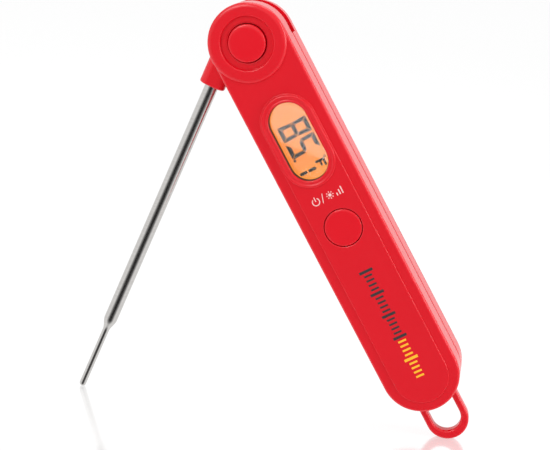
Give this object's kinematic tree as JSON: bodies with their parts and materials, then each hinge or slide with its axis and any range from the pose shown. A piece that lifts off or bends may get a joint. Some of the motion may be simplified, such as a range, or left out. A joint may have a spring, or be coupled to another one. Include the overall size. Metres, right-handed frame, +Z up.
{
  "type": "folding pocket thermometer",
  "caption": "Folding instant-read food thermometer with a swing-out steel probe, round pivot head, backlit display, push buttons and a hanging loop.",
  "frame": {"origin": "on the ground, midway between the outermost points of the hanging loop's side and the probe tip's side, and midway between the front and the back", "axes": "+Z up, -Y out of the display face, +Y out of the back, +X towards the hanging loop; the casing leans 32.5 degrees and the probe 19.6 degrees the other way"},
  "size_m": [0.125, 0.0192, 0.1282],
  "materials": {
    "red_abs": "red ABS, moulded, satin gloss",
    "polished_steel": "polished stainless steel",
    "spring_steel": "plated steel",
    "white_nylon": "white nylon, moulded",
    "black_plastic": "black plastic, moulded",
    "clear_acrylic": "clear acrylic window",
    "lcd": "liquid crystal display with an amber backlight",
    "amber_acrylic": "amber light guide",
    "conductive_rubber": "layered conductive silicone",
    "green_board": "solder mask over glass laminate",
    "copper_alloy": "copper alloy",
    "red_wire": "red insulated wire",
    "cell_jacket": "plain printed cell jacket",
    "nickel_magnet": "nickel-plated magnet"
  },
  "bodies": {
    "casing": {"front_cover": "red_abs", "rear_cover": "red_abs", "hanging_loop": "red_abs", "display_lens": "clear_acrylic", "lcd_glass": "lcd", "light_guide": "amber_acrylic", "lcd_frame": "white_nylon", "zebra_connector_left": "conductive_rubber", "zebra_connector_right": "conductive_rubber", "backlight_led": "amber_acrylic", "circuit_board": "green_board", "microcontroller": "black_plastic", "power_switch": "black_plastic", "unit_switch": "black_plastic", "board_screw_1": "spring_steel", "board_screw_2": "spring_steel", "battery_cell": "cell_jacket", "battery_spring_contact": "spring_steel", "battery_plate_contact": "copper_alloy", "battery_lead_negative": "black_plastic", "battery_lead_positive": "red_wire", "back_magnet": "nickel_magnet", "cover_screw_1": "spring_steel", "cover_screw_2": "spring_steel", "pivot_pin": "spring_steel", "release_spring": "spring_steel", "torsion_spring": "spring_steel"},
    "probe": {"probe_hub": "red_abs", "probe_tube": "polished_steel", "thermistor_bead": "black_plastic", "sensor_lead_a": "copper_alloy", "sensor_lead_b": "copper_alloy"},
    "release": {"release_button": "red_abs", "lock_plunger": "white_nylon"},
    "power": {"power_button": "red_abs"},
    "unit": {"unit_button": "black_plastic"},
    "door": {"battery_door": "red_abs"}
  },
  "joints": [
    {"name": "probe_swing", "type": "hinge", "parent": "casing", "child": "probe", "pos_m": [-0.01396, 0.00208, 0.11624], "axis": [0, 1, 0], "range_deg": [-52.14, 127.86]},
    {"name": "release_press", "type": "slide", "parent": "casing", "child": "release", "axis": [0, 1, 0], "range_m": [0, 0.0012], "stiffness_N_per_m": 500},
    {"name": "power_press", "type": "slide", "parent": "casing", "child": "power", "axis": [0, 1, 0], "range_m": [0, 0.0005], "stiffness_N_per_m": 1000},
    {"name": "unit_press", "type": "slide", "parent": "casing", "child": "unit", "axis": [0, -1, 0], "range_m": [0, 0.0005], "stiffness_N_per_m": 1000},
    {"name": "door_slide", "type": "slide", "parent": "casing", "child": "door", "axis": [0.5373, 0, -0.8434], "range_m": [0, 0.012]}
  ]
}
